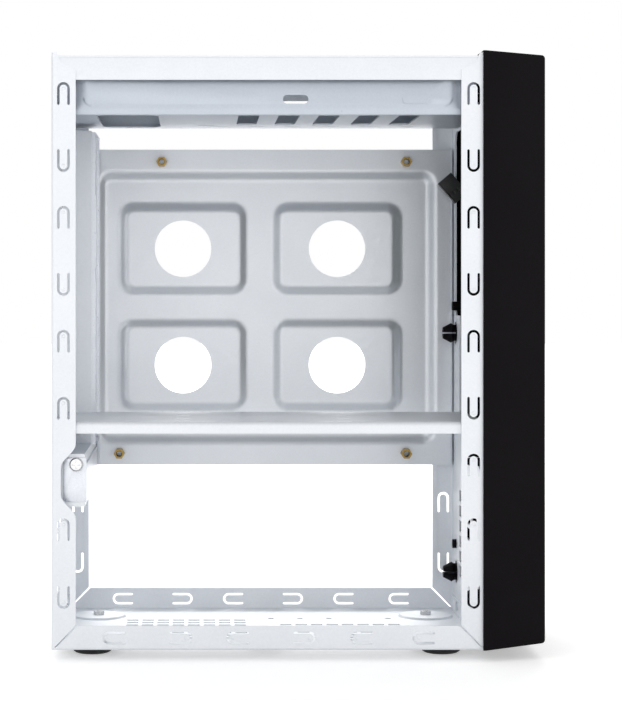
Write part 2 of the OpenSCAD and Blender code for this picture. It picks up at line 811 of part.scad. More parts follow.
// Brace across the open side: plate with a rounded front fold and tabs at both ends
module brace_section() {
    translate([brace_y, -brace_lip]) square([sheet_t, brace_lip - brace_r]);
    translate([brace_y + brace_r, -sheet_t]) square([brace_d - brace_r, sheet_t]);
    difference() {
        translate([brace_y + brace_r, -brace_r]) circle(brace_r);
        translate([brace_y + brace_r, -brace_r]) circle(brace_r - sheet_t);
        translate([brace_y + brace_r, -2 * brace_r - 1]) square([brace_r + 1, 2 * brace_r + 2]);
        translate([brace_y - 1, -2 * brace_r - 1]) square([brace_r + 2, brace_r + 1]);
    }
}

module cross_brace() color(steel) place() {
    difference() {
        union() {
            through_x(rear_in, front_in) translate([0, brace_z]) brace_section();
            for (x = [rear_in, front_in - sheet_t]) {
                translate([x, 8, brace_z - 11]) cube([sheet_t, 46, 11]);
            }
        }
        // Room for the port recess
        translate([-1, port_y - 0.6, brace_z - 12]) cube([recess_in + 3.4, brace_d, 15]);
        for (y = brace_rivets) {
            translate([0, y, brace_rivet_z]) rivet_hole_x(rear_in - 1, rear_in + 2);
            translate([0, y, brace_rivet_z]) rivet_hole_x(front_in - 2, front_in + 1);
        }
        for (x = [64, 64 + 79.25], y = [24, 46]) {
            translate([x - 4, y, brace_z - 3]) linear_extrude(6) round_rect(8, 3.4, 1.65);
        }
    }
}

// Blank of the card slot: plate along the recess and a tab on its ledge
module slot_cover() color("gainsboro") place() {
    difference() {
        union() {
            translate([recess_in, slot_y - bracket_t, bracket_z0])
                cube([bracket_t, bracket_end - slot_y + bracket_t, bracket_w]);
            translate([tab_x0, slot_y - bracket_t, bracket_z0])
                cube([recess_in + bracket_t - tab_x0, bracket_t, tab_w]);
        }
        translate([slot_screw_x, slot_y - 2, slot_screw_z]) rotate([-90, 0, 0])
            cylinder(h = 3, r = slot_screw_r + hole_gap);
    }
}

module slot_screw() color("silver") place() {
    face = slot_y - bracket_t;
    translate([slot_screw_x, 0, slot_screw_z]) rotate([-90, 0, 0]) difference() {
        union() {
            translate([0, 0, face - 2]) cylinder(h = 0.7, r1 = 2.7, r2 = 3.35);
            translate([0, 0, face - 1.3]) cylinder(h = 1.3, r = 3.35);
            translate([0, 0, face - eps]) cylinder(h = 6, r = slot_screw_r);
        }
        for (turn = [0, 90]) {
            rotate(turn) translate([-2.1, -0.45, face - 3]) cube([4.2, 0.9, 2]);
        }
    }
}

// Port plate: lies on the recess from inside, with a rim around it and plain cut-outs
shield_len = port_len + 2 * shield_lap;
shield_w = port_w + 2 * shield_lap;
module io_shield() color("gainsboro") place() {
    y0 = port_far - port_w - shield_lap;
    z0 = port_z1 - port_len - shield_lap;
    difference() {
        translate([recess_in, y0, z0]) cube([2, shield_w, shield_len]);
        translate([recess_in + shield_t, y0 + shield_t, z0 + shield_t])
            cube([3, shield_w - 2 * shield_t, shield_len - 2 * shield_t]);
        for (k = [0 : 1]) {
            translate([recess_in - 1, y0 + 32 - k * 16, z0 + 16]) rotate([0, 90, 0]) cylinder(h = 3, r = 6.2);
        }
        for (k = [0 : 2]) {
            translate([recess_in - 1, y0 + 22, z0 + 34 + k * 18]) cube([3, 17, 14.6]);
            translate([recess_in - 1, y0 + 40 - k * 12.5, z0 + 152]) rotate([0, 90, 0])
                cylinder(h = 3, r = 3.4);
        }
        translate([recess_in - 1, y0 + 30, z0 + 92]) cube([3, 11.5, 38]);
    }
}

// Corner q between p and s, rounded by radius r
corner_steps = 6;
function rounded(p, q, s, r) = let (
    a = unit(p - q),
    b = unit(s - q),
    half = acos(a * b) / 2,
    mid = q + unit(a + b) * r / sin(half),
    from = q + a * r / tan(half) - mid,
    to = q + b * r / tan(half) - mid)
    [for (i = [0 : corner_steps]) mid + r * unit(from * (1 - i / corner_steps) + to * i / corner_steps)];

// Section of the bezel: a short straight lap at the back, then sides that slope to the rounded front
module bezel_section(low, high, front_low, front_high, wall) {
    back = bezel_x0 - (wall > 0 ? 2 : 0);
    knee = bezel_x0 + bezel_lap;
    front = bezel_x1 - wall;
    r = max(bezel_r - wall, inner_r_min);
    lower = [[knee, low + wall], [front, front_low + wall], [front, front_high - wall]];
    upper = [[front, front_low + wall], [front, front_high - wall], [knee, high - wall]];
    polygon(concat([[back, low + wall]], [lower[0]], rounded(lower[0], lower[1], lower[2], r),
        rounded(upper[0], upper[1], upper[2], r), [upper[2]], [[back, high - wall]]));
}

// Outer form of the bezel, shrunk by the given wall
module bezel_form(wall) {
    side = bezel_taper - bezel_out;
    top = case_h + bezel_over;
    intersection() {
        translate([0, 0, -5]) linear_extrude(case_h + 20)
            bezel_section(-bezel_out, case_w + bezel_out, side, case_w - side, wall);
        through_y(-10, case_w + 10) bezel_section(0, top, bezel_drop, top - bezel_fall, wall);
    }
}

// Split snap of the bezel, along -x from the front wall's hole
module snap() {
    rotate([0, -90, 0]) difference() {
        union() {
            translate([0, 0, front_in - bezel_face - 1]) cylinder(h = bezel_face + 1 - front_in + 1.2, r = neck_r);
            translate([0, 0, 1.2]) cylinder(h = 1.4, r1 = neck_r, r2 = snap_r);
            translate([0, 0, 2.6 - eps]) cylinder(h = snap_reach - 2.6, r1 = snap_r, r2 = 3);
        }
        translate([-snap_slit / 2, -snap_r - 1, -3]) cube([snap_slit, 2 * snap_r + 2, snap_reach + 6]);
    }
}

// Posts that carry the front board
module board_posts() {
    for (z = post_z) {
        translate([board_face + board_t, control_y, z]) rotate([0, 90, 0])
            cylinder(h = bezel_face - board_face - board_t + 1, r = post_r);
    }
}

module front_bezel() color("#1c1a1d") place() {
    difference() {
        union() {
            difference() {
                bezel_form(0);
                bezel_form(bezel_wall);
                translate([bezel_x0 - 1, 0, 0])
                    cube([bezel_lap + 1, case_w, case_h + ear_h + 0.05]);
            }
            for (place_yz = snaps) {
                translate([front_in, place_yz[0], place_yz[1]]) snap();
            }
            for (peg = pegs) {
                translate([front_in - peg_reach, peg[0], peg[1]]) rotate([0, 90, 0])
                    cylinder(h = bezel_face + 1 - front_in + peg_reach, r = peg_r);
            }
            board_posts();
        }
        translate([bezel_face - 2, bay_y, bay_z0]) cube([bezel_wall + 4, bay_w, bay_z1 - bay_z0]);
        translate([bezel_face - 1, control_y, power_z]) rotate([0, 90, 0])
            cylinder(h = 5, r = power_r + move_gap);
        translate([bezel_face - 1, control_y, reset_z]) rotate([0, 90, 0])
            cylinder(h = 5, r = reset_r + move_gap);
        for (z = lens_z) {
            translate([bezel_face - 1, control_y, z]) rotate([0, 90, 0])
                cylinder(h = 5, r = lens_r + lens_gap);
        }
        for (z = usb_z) {
            translate([bezel_face - 1, control_y - usb_h / 2 - 0.2, z - usb_w / 2 - 0.2])
                cube([5, usb_h + 0.4, usb_w + 0.4]);
        }
        for (z = jack_z) {
            translate([bezel_face - 1, control_y, z]) rotate([0, 90, 0]) cylinder(h = 5, r = jack_r + 0.2);
        }
        for (z = post_z) {
            translate([board_face, control_y, z]) rotate([0, 90, 0]) cylinder(h = 9, r = screw_r + hole_gap);
        }
    }
}

module bay_cover() color("#232124") place() {
    height = bay_z1 - bay_z0 - 2 * bay_gap;
    width = bay_w - 2 * bay_gap;
    difference() {
        union() {
            translate([bezel_face, bay_y + bay_gap, bay_z0 + bay_gap]) cube([bezel_wall + 0.3, width, height]);
            translate([bezel_face - 2, bay_y - 1.2, bay_z0 + 6]) cube([2, bay_w + 2.4, height - 12]);
        }
        translate([bezel_face - 3, bay_y + 2, bay_z0 + 8]) cube([3.8, bay_w - 4, height - 16]);
    }
}

// Button with a retaining flange behind the bezel and a stem into its switch
module button(r, z) {
    stem_end = board_face + board_t + switch_h - stem_in;
    flange_x = bezel_face - move_gap - flange_t;
    translate([0, control_y, z]) rotate([0, 90, 0]) {
        translate([0, 0, flange_x]) cylinder(h = flange_t, r = r + 1.2);
        translate([0, 0, flange_x]) cylinder(h = bezel_x1 + button_out - 0.5 - flange_x, r = r);
        translate([0, 0, bezel_x1 + button_out - 0.5]) cylinder(h = 0.5, r1 = r, r2 = r - 0.5);
        translate([0, 0, stem_end]) cylinder(h = flange_x - stem_end + eps, r = button_stem_r);
    }
}

module power_button() color("#2a282c") place() button(power_r, power_z);
module reset_button() color("#2a282c") place() button(reset_r, reset_z);

module lens(z) {
    translate([board_face + board_t, control_y, z]) rotate([0, 90, 0])
        cylinder(h = bezel_x1 - board_face - board_t + 0.2, r = lens_r);
}

module power_lens() color("lightgreen") place() lens(lens_z[0]);
module drive_lens() color("tomato") place() lens(lens_z[1]);

module front_board() color("darkgreen") place() {
    difference() {
        union() {
            translate([board_face, board_y0, board_low_z])
                cube([board_t, board_y1 - board_y0, board_top_z - board_low_z]);
            translate([lead_route[0][0], lead_route[0][1] - header_size[0] / 2,
                lead_route[0][2] - header_size[1] / 2])
                cube([board_face - lead_route[0][0] + eps, header_size[0], header_size[1]]);
        }
        for (z = post_z) {
            translate([board_face - 1, control_y, z]) rotate([0, 90, 0])
                cylinder(h = 4, r = screw_r + 0.3);
        }
    }
}

module switch_body(z) {
    x0 = board_face + board_t;
    difference() {
        translate([x0, control_y - switch_w / 2, z - switch_w / 2]) cube([switch_h, switch_w, switch_w]);
        translate([x0 + switch_h - stem_in - travel - 0.5, control_y, z]) rotate([0, 90, 0])
            cylinder(h = 6, r = button_stem_r + move_gap);
    }
}

module power_switch() color(dark) place() switch_body(power_z);
module reset_switch() color(dark) place() switch_body(reset_z);

// Port socket: folded shell with a tongue inside
module usb_socket(z) {
    x0 = board_face + board_t;
    reach = bezel_x1 - x0 + usb_out - bezel_wall;
    translate([x0, control_y - usb_h / 2, z - usb_w / 2]) difference() {
        cube([reach, usb_h, usb_w]);
        translate([2, usb_wall, usb_wall]) cube([reach, usb_h - 2 * usb_wall, usb_w - 2 * usb_wall]);
    }
    translate([x0 + 1, control_y - 0.1, z - 5]) cube([reach - 2, 1.4, 10]);
}

module usb_socket_upper() color("silver") place() usb_socket(usb_z[0]);
module usb_socket_lower() color("silver") place() usb_socket(usb_z[1]);

module jack(z) {
    x0 = board_face + board_t;
    difference() {
        union() {
            translate([x0, control_y - 3.4, z - 4]) cube([8, 6.8, 8]);
            translate([x0, control_y, z]) rotate([0, 90, 0]) cylinder(h = bezel_x1 - x0, r = jack_r);
        }
        translate([x0 + 2, control_y, z]) rotate([0, 90, 0]) cylinder(h = 20, r = jack_bore);
    }
}

module mic_jack() color("palevioletred") place() jack(jack_z[0]);
module headphone_jack() color("yellowgreen") place() jack(jack_z[1]);

module board_screws() color("silver") place() {
    for (z = post_z) {
        translate([board_face, control_y, z]) rotate([0, 90, 0]) {
            translate([0, 0, -1.4]) cylinder(h = 1.4, r = 2.4);
            translate([0, 0, -eps]) cylinder(h = 7, r = screw_r);
        }
    }
}

// Unit direction of the lead at a point of its route
function unit(v) = v / norm(v);
function lead_last() = len(lead_route) - 1;
function lead_way(i) = unit(lead_route[min(i + 1, lead_last())] - lead_route[max(i - 1, 0)]);
function lead_side(i) = unit(cross(lead_way(i), [0.2, 1, 0.35]));
function lead_ring(i) = [for (k = [0 : lead_sides - 1]) lead_route[i]
    + lead_r * cos(360 * k / lead_sides) * lead_side(i)
    + lead_r * sin(360 * k / lead_sides) * cross(lead_way(i), lead_side(i))];

// Tube swept along a route of rings
module tube(rings, sides) {
    count = len(rings);
    points = [for (ring = rings) each ring];
    walls = [for (i = [0 : count - 2], k = [0 : sides - 1]) let (n = (k + 1) % sides)
        [i * sides + k, i * sides + n, (i + 1) * sides + n, (i + 1) * sides + k]];
    first = [for (k = [0 : sides - 1]) sides - 1 - k];
    last = [for (k = [0 : sides - 1]) (count - 1) * sides + k];
    polyhedron(points = points, faces = concat([first], walls, [last]));
}

module front_lead() color("#151316") place() tube([for (i = [0 : lead_last()]) lead_ring(i)], lead_sides);

// Plug of the lead, turned as it pokes out of the front wall's opening
module lead_connector() color("#151316") place() {
    end = lead_route[lead_last()] - lead_route[lead_last() - 1];
    translate(lead_route[lead_last()]) rotate([0, atan2(end[0], end[2]), 0]) difference() {
        translate([-plug_size[0] / 2, -plug_size[1] / 2, 0]) cube(plug_size);
        for (k = [0 : plug_windows - 1]) {
            translate([(k - (plug_windows - 1) / 2) * window_pitch - 0.55, -plug_size[1] / 2 - 1, 4])
                cube([1.1, 1.6, 1.8]);
            translate([(k - (plug_windows - 1) / 2) * window_pitch - 0.4, -1.6, plug_size[2] - 6])
                cube([0.8, 0.8, 7]);
        }
    }
}

// Clip on the front wall that holds both runs of the lead
module lead_clip() color("#202022") place() {
    difference() {
        translate([case_len, clip_y, clip_z - 3]) cube([clip_out, clip_w, 6]);
        translate([case_len + clip_t, clip_y + clip_t, clip_z - 4])
            cube([clip_out - 2 * clip_t, clip_w - 2 * clip_t, 8]);
    }
}

module standoff(index) {
    hole = board_holes[index];
    translate([hole[0], tray_y, hole[1]]) rotate([90, 0, 0]) difference() {
        union() {
            cylinder(h = standoff_h, d = standoff_af / cos(30), $fn = 6);
            translate([0, 0, -3.2]) cylinder(h = 3.2 + eps, r = stem_r);
        }
        translate([0, 0, -0.6]) cylinder(h = standoff_h + 2, r = standoff_r);
    }
}

module standoff_1() color("goldenrod") place() standoff(0);
module standoff_2() color("goldenrod") place() standoff(1);
module standoff_3() color("goldenrod") place() standoff(2);
module standoff_4() color("goldenrod") place() standoff(3);

// Rubber foot with a rounded edge and a sunk screw
foot_edge = 3.4;
module foot(x, y) {
    translate([x, y, 0]) difference() {
        rotate_extrude() {
            square([foot_r, boss_h]);
            translate([0, -foot_h]) square([foot_r - foot_edge, foot_h + eps]);
            translate([0, foot_edge - foot_h]) square([foot_r, foot_h - foot_edge + eps]);
            translate([foot_r - foot_edge, foot_edge - foot_h]) circle(foot_edge);
        }
        translate([0, 0, -foot_h - 1]) cylinder(h = 4, r = 4);
        translate([0, 0, -foot_h]) cylinder(h = foot_h + 3, r = screw_r + 0.4);
    }
}

module foot_1() color("#151315") place() foot(foot_x, foot_y);
module foot_2() color("#151315") place() foot(case_len - foot_x, foot_y);
module foot_3() color("#151315") place() foot(foot_x, case_w - foot_y);
module foot_4() color("#151315") place() foot(case_len - foot_x, case_w - foot_y);

module foot_screws() color("silver") place() {
    for (x = [foot_x, case_len - foot_x], y = [foot_y, case_w - foot_y]) {
        translate([x, y, 3 - foot_h - 1.6]) cylinder(h = 1.6, r = 3.2);
        translate([x, y, 3 - foot_h - eps]) cylinder(h = foot_h - 3 + boss_h + 3, r = screw_r);
        translate([x, y, boss_h + sheet_t]) cylinder(h = 1.8, d = 5.6, $fn = 6);
    }
}

module frame_rivets() color("silver") place() {
    end_rivet_places() {
        rivet_x(0, 2 * sheet_t);
        rivet_x(front_in - sheet_t, 2 * sheet_t);
    }
}

module inner_rivets() color("silver") place() {
    inner_end_places() {
        rivet_x(0, 2 * sheet_t);
        rivet_x(front_in - sheet_t, 2 * sheet_t);
    }
    tray_rear_places() rivet_x(recess_in - sheet_t, 2 * sheet_t, small_head_r);
    tray_front_places() translate([0, 1.5 - sheet_t, 0]) rotate([0, 0, 90]) rivet_x(0, 2 * sheet_t);
}

bottom_panel();
rear_panel();
front_panel();
top_panel();
board_tray();
drive_shelf();
cross_brace();
slot_cover();
slot_screw();
io_shield();
front_bezel();
bay_cover();
power_button();
reset_button();
power_lens();
drive_lens();
front_board();
power_switch();
reset_switch();
usb_socket_upper();
usb_socket_lower();
mic_jack();
headphone_jack();
board_screws();
front_lead();
lead_connector();
lead_clip();
standoff_1();
standoff_2();
standoff_3();
standoff_4();
foot_1();
foot_2();
foot_3();
foot_4();
foot_screws();
frame_rivets();
inner_rivets();
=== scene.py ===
import bpy
import json
import math
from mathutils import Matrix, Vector


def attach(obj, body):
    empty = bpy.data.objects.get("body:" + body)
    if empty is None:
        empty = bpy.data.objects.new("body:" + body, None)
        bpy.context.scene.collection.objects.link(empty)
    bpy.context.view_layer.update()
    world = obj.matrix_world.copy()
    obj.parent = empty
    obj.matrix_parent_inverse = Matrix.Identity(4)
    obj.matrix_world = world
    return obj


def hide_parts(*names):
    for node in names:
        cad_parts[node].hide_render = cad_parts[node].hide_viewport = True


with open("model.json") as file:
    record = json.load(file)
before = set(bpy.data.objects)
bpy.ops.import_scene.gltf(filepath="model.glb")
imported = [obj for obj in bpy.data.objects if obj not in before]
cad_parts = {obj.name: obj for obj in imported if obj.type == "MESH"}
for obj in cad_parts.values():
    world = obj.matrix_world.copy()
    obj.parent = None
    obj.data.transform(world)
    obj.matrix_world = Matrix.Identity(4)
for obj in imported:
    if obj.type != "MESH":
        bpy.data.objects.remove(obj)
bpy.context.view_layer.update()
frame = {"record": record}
MM = 0.001

# Case frame of the part's source, in millimetres, to the row frame in metres
CASE_LEN, CASE_W, CASE_H = 210.5, 130.0, 288.2
BEZEL_LEN, BUTTON_OUT, HEAD_H, FOOT_H = 30.0, 1.0, 0.7, 5.8
ORIGIN_X = (CASE_LEN + BEZEL_LEN + BUTTON_OUT - HEAD_H) / 2


def spot(x, y, z):
    return Vector(((x - ORIGIN_X) * MM, (y - CASE_W / 2) * MM, (z + FOOT_H) * MM))


# Camera at the photograph's distance, straight at the open side. The picture's size and the point that it
# looks along are in pixels
FOCAL_PX, FRAME_PX = 2170.0, (622.0, 701.0)
EYE_PX = (196.0, 278.0)
EYE_AT = (70.1, -1051, 180.3)
SENSOR, FAR_CLIP = 36.0, 50
camera_data = bpy.data.cameras.new("camera")
camera_data.sensor_width = SENSOR
camera_data.lens = FOCAL_PX / FRAME_PX[1] * SENSOR
camera_data.shift_x = (FRAME_PX[0] / 2 - EYE_PX[0]) / FRAME_PX[1]
camera_data.shift_y = -(FRAME_PX[1] / 2 - EYE_PX[1]) / FRAME_PX[1]
camera_data.clip_end = FAR_CLIP
camera = bpy.data.objects.new("camera", camera_data)
camera.location = spot(*EYE_AT)
camera.rotation_euler = (math.pi / 2, 0, 0)
bpy.context.scene.collection.objects.link(camera)
bpy.context.scene.camera = camera


# Shader groups
def new_group(name, inputs, outputs):
    group = bpy.data.node_groups.new(name, "ShaderNodeTree")
    for label, kind, value in inputs:
        socket = group.interface.new_socket(label, in_out="INPUT", socket_type=kind)
        if value is not None:
            socket.default_value = value
    for label, kind in outputs:
        group.interface.new_socket(label, in_out="OUTPUT", socket_type=kind)
    return group, group.nodes.new("NodeGroupInput"), group.nodes.new("NodeGroupOutput")


def math_node(tree, kind, a, b=None, clamp=False):
    node = tree.nodes.new("ShaderNodeMath")
    node.operation = kind
    node.use_clamp = clamp
    for index, value in enumerate((a, b)):
        if value is None:
            continue
        if isinstance(value, (int, float)):
            node.inputs[index].default_value = value
        else:
            tree.links.new(value, node.inputs[index])
    return node.outputs[0]


def add_node(tree, kind, inputs=None, **settings):
    """A node whose inputs are values, or links where the value is a socket."""
    node = tree.nodes.new(kind)
    for label, value in settings.items():
        setattr(node, label, value)
    for label, value in (inputs or {}).items():
        if hasattr(value, "links"):
            tree.links.new(value, node.inputs[label])
        else:
            node.inputs[label].default_value = value
    return node


def vector_node(tree, kind, *values):
    return add_node(tree, "ShaderNodeVectorMath", dict(enumerate(values)), operation=kind)


def noise(tree, vector, scale, detail, rough):
    node = add_node(tree, "ShaderNodeTexNoise", {
        "Vector": vector, "Scale": scale, "Detail": detail, "Roughness": rough})
    return node.outputs["Fac"]


def scaled_swing(tree, value, middle, gain):
    """How far a value is from its middle, times a gain."""
    return math_node(tree, "MULTIPLY", math_node(tree, "SUBTRACT", value, middle), gain)


def object_coords(tree):
    return tree.nodes.new("ShaderNodeTexCoord").outputs["Object"]


MIX_FACTOR, MIX_A, MIX_B, MIX_RESULT = 0, 6, 7, 2


def mix_colors(tree, factor, a, b):
    node = add_node(tree, "ShaderNodeMix", {MIX_FACTOR: factor, MIX_A: a, MIX_B: b}, data_type="RGBA")
    return node.outputs[MIX_RESULT]


def rgb(red, green, blue):
    return (red, green, blue, 1.0)


# Zinc sheet: broad pale patches, a fine grain and faint rolling lines
PATCH_SHARE, GRAIN_SHARE, TONE_CONTRAST, ZINC_GRAIN_ROUGHNESS = 0.55, 0.45, 2.2, 0.35
LINE_STRETCH, LINE_SCALE, LINE_DEPTH = (6.0, 6.0, 260.0), 3.0, 0.02


def make_zinc_group():
    group, entry, out = new_group("zinc_sheet", [
        ("Pale", "NodeSocketColor", rgb(0.8, 0.82, 0.85)),
        ("Dull", "NodeSocketColor", rgb(0.6, 0.63, 0.68)),
        ("Grain Scale", "NodeSocketFloat", 900.0), ("Patch Scale", "NodeSocketFloat", 22.0),
        ("Grain Depth", "NodeSocketFloat", 0.12), ("Base Roughness", "NodeSocketFloat", 0.42)],
        [("Color", "NodeSocketColor"), ("Roughness", "NodeSocketFloat"), ("Height", "NodeSocketFloat")])
    coords = object_coords(group)
    patches = noise(group, coords, entry.outputs["Patch Scale"], 4.0, 0.6)
    grain = noise(group, coords, entry.outputs["Grain Scale"], 2.0, 0.6)
    stretch = add_node(group, "ShaderNodeMapping", {"Vector": coords, "Scale": LINE_STRETCH})
    lines = noise(group, stretch.outputs["Vector"], LINE_SCALE, 2.0, 0.5)
    tone = math_node(group, "ADD", math_node(group, "MULTIPLY", patches, PATCH_SHARE),
                     math_node(group, "MULTIPLY", grain, GRAIN_SHARE))
    spread = math_node(group, "ADD", scaled_swing(group, tone, 0.5, TONE_CONTRAST), 0.5, clamp=True)
    color = mix_colors(group, spread, entry.outputs["Dull"], entry.outputs["Pale"])
    group.links.new(color, out.inputs["Color"])
    rough = math_node(group, "ADD", entry.outputs["Base Roughness"],
                      scaled_swing(group, grain, 0.5, ZINC_GRAIN_ROUGHNESS), clamp=True)
    group.links.new(rough, out.inputs["Roughness"])
    height = math_node(group, "ADD", math_node(group, "MULTIPLY", grain, entry.outputs["Grain Depth"]),
                       math_node(group, "MULTIPLY", lines, LINE_DEPTH))
    group.links.new(height, out.inputs["Height"])
    return group


# Moulded skin: a fine even grain in the tool, rubbed a little paler in places
RUB_SCALE, RUB_START, RUB_GAIN, SKIN_GRAIN_ROUGHNESS = 18.0, 0.45, 2.0, 0.3


def make_skin_group():
    group, entry, out = new_group("moulded_skin", [
        ("Tone", "NodeSocketColor", rgb(0.02, 0.02, 0.022)),
        ("Rub Tone", "NodeSocketColor", rgb(0.05, 0.05, 0.054)),
        ("Grain Scale", "NodeSocketFloat", 1500.0), ("Grain Depth", "NodeSocketFloat", 0.5),
        ("Base Roughness", "NodeSocketFloat", 0.55)],
        [("Color", "NodeSocketColor"), ("Roughness", "NodeSocketFloat"), ("Height", "NodeSocketFloat")])
    coords = object_coords(group)
    grain = noise(group, coords, entry.outputs["Grain Scale"], 2.0, 0.5)
    rub = noise(group, coords, RUB_SCALE, 4.0, 0.6)
    mask = math_node(group, "MULTIPLY", math_node(group, "SUBTRACT", rub, RUB_START), RUB_GAIN, clamp=True)
    tone = mix_colors(group, mask, entry.outputs["Tone"], entry.outputs["Rub Tone"])
    group.links.new(tone, out.inputs["Color"])
    rough = math_node(group, "ADD", entry.outputs["Base Roughness"],
                      scaled_swing(group, grain, 0.5, SKIN_GRAIN_ROUGHNESS), clamp=True)
    group.links.new(rough, out.inputs["Roughness"])
    group.links.new(math_node(group, "MULTIPLY", grain, entry.outputs["Grain Depth"]), out.inputs["Height"])
    return group


# Painted shade in the threaded bores: a mask around each standoff's axis turns the brass near black there
BOARD_REAR, BOARD_LOW, BOARD_X, BOARD_Z, BOARD_SHIFT = 28.7, 85.55, 154.94, 157.48, 22.86
BORE_SHADE_REACH, BORE_PLACES = 1.62, (
    (BOARD_REAR, BOARD_LOW), (BOARD_REAR + BOARD_X, BOARD_LOW),
    (BOARD_REAR + BOARD_SHIFT, BOARD_LOW + BOARD_Z), (BOARD_REAR + BOARD_X, BOARD_LOW + BOARD_Z))
FAR_AWAY = 1.0


def make_bore_shade_group():
    group, entry, out = new_group("standoff_bore_shade", [
        ("Color", "NodeSocketColor", rgb(0.5, 0.35, 0.1)),
        ("Painted Bore Shade", "NodeSocketColor", rgb(0.03, 0.02, 0.008)),
        ("Reach", "NodeSocketFloat", BORE_SHADE_REACH * MM)], [("Color", "NodeSocketColor")])
    coords = object_coords(group)
    nearest = FAR_AWAY
    for x, z in BORE_PLACES:
        place = spot(x, 0, z)
        shift = vector_node(group, "SUBTRACT", coords, (place.x, 0, place.z))
        level = vector_node(group, "MULTIPLY", shift.outputs[0], (1, 0, 1))
        reach = vector_node(group, "LENGTH", level.outputs[0])
        nearest = math_node(group, "MINIMUM", reach.outputs["Value"], nearest)
    # Painted shade: brass within the reach of any standoff axis takes the dark bore colour
    inside = math_node(group, "LESS_THAN", nearest, entry.outputs["Reach"])
    color = mix_colors(group, inside, entry.outputs["Color"], entry.outputs["Painted Bore Shade"])
    group.links.new(color, out.inputs["Color"])
    return group


ZINC = make_zinc_group()
SKIN = make_skin_group()
BORE_SHADE = make_bore_shade_group()


def add_bore_shade(material):
    tree = material.node_tree
    shader = tree.nodes["Principled BSDF"]
    source = shader.inputs["Base Color"].links[0].from_socket
    use = add_node(tree, "ShaderNodeGroup", node_tree=BORE_SHADE)
    tree.links.new(source, use.inputs["Color"])
    tree.links.new(use.outputs["Color"], shader.inputs["Base Color"])
    return material


BUMP_DISTANCE = 0.0002


def finish_material(name, group, values, bump=0.3, **fixed):
    """A principled material driven by one shader group. Fixed values name the shader's own inputs."""
    material = bpy.data.materials.new(name)
    material.use_nodes = True
    tree = material.node_tree
    shader = tree.nodes["Principled BSDF"]
    for label, value in fixed.items():
        shader.inputs[label.replace("_", " ")].default_value = value
    use = tree.nodes.new("ShaderNodeGroup")
    use.node_tree = group
    for label, value in values.items():
        use.inputs[label].default_value = value
    tree.links.new(use.outputs["Color"], shader.inputs["Base Color"])
    tree.links.new(use.outputs["Roughness"], shader.inputs["Roughness"])
    lift = add_node(tree, "ShaderNodeBump", {
        "Strength": bump, "Distance": BUMP_DISTANCE, "Height": use.outputs["Height"]})
    tree.links.new(lift.outputs["Normal"], shader.inputs["Normal"])
    return material
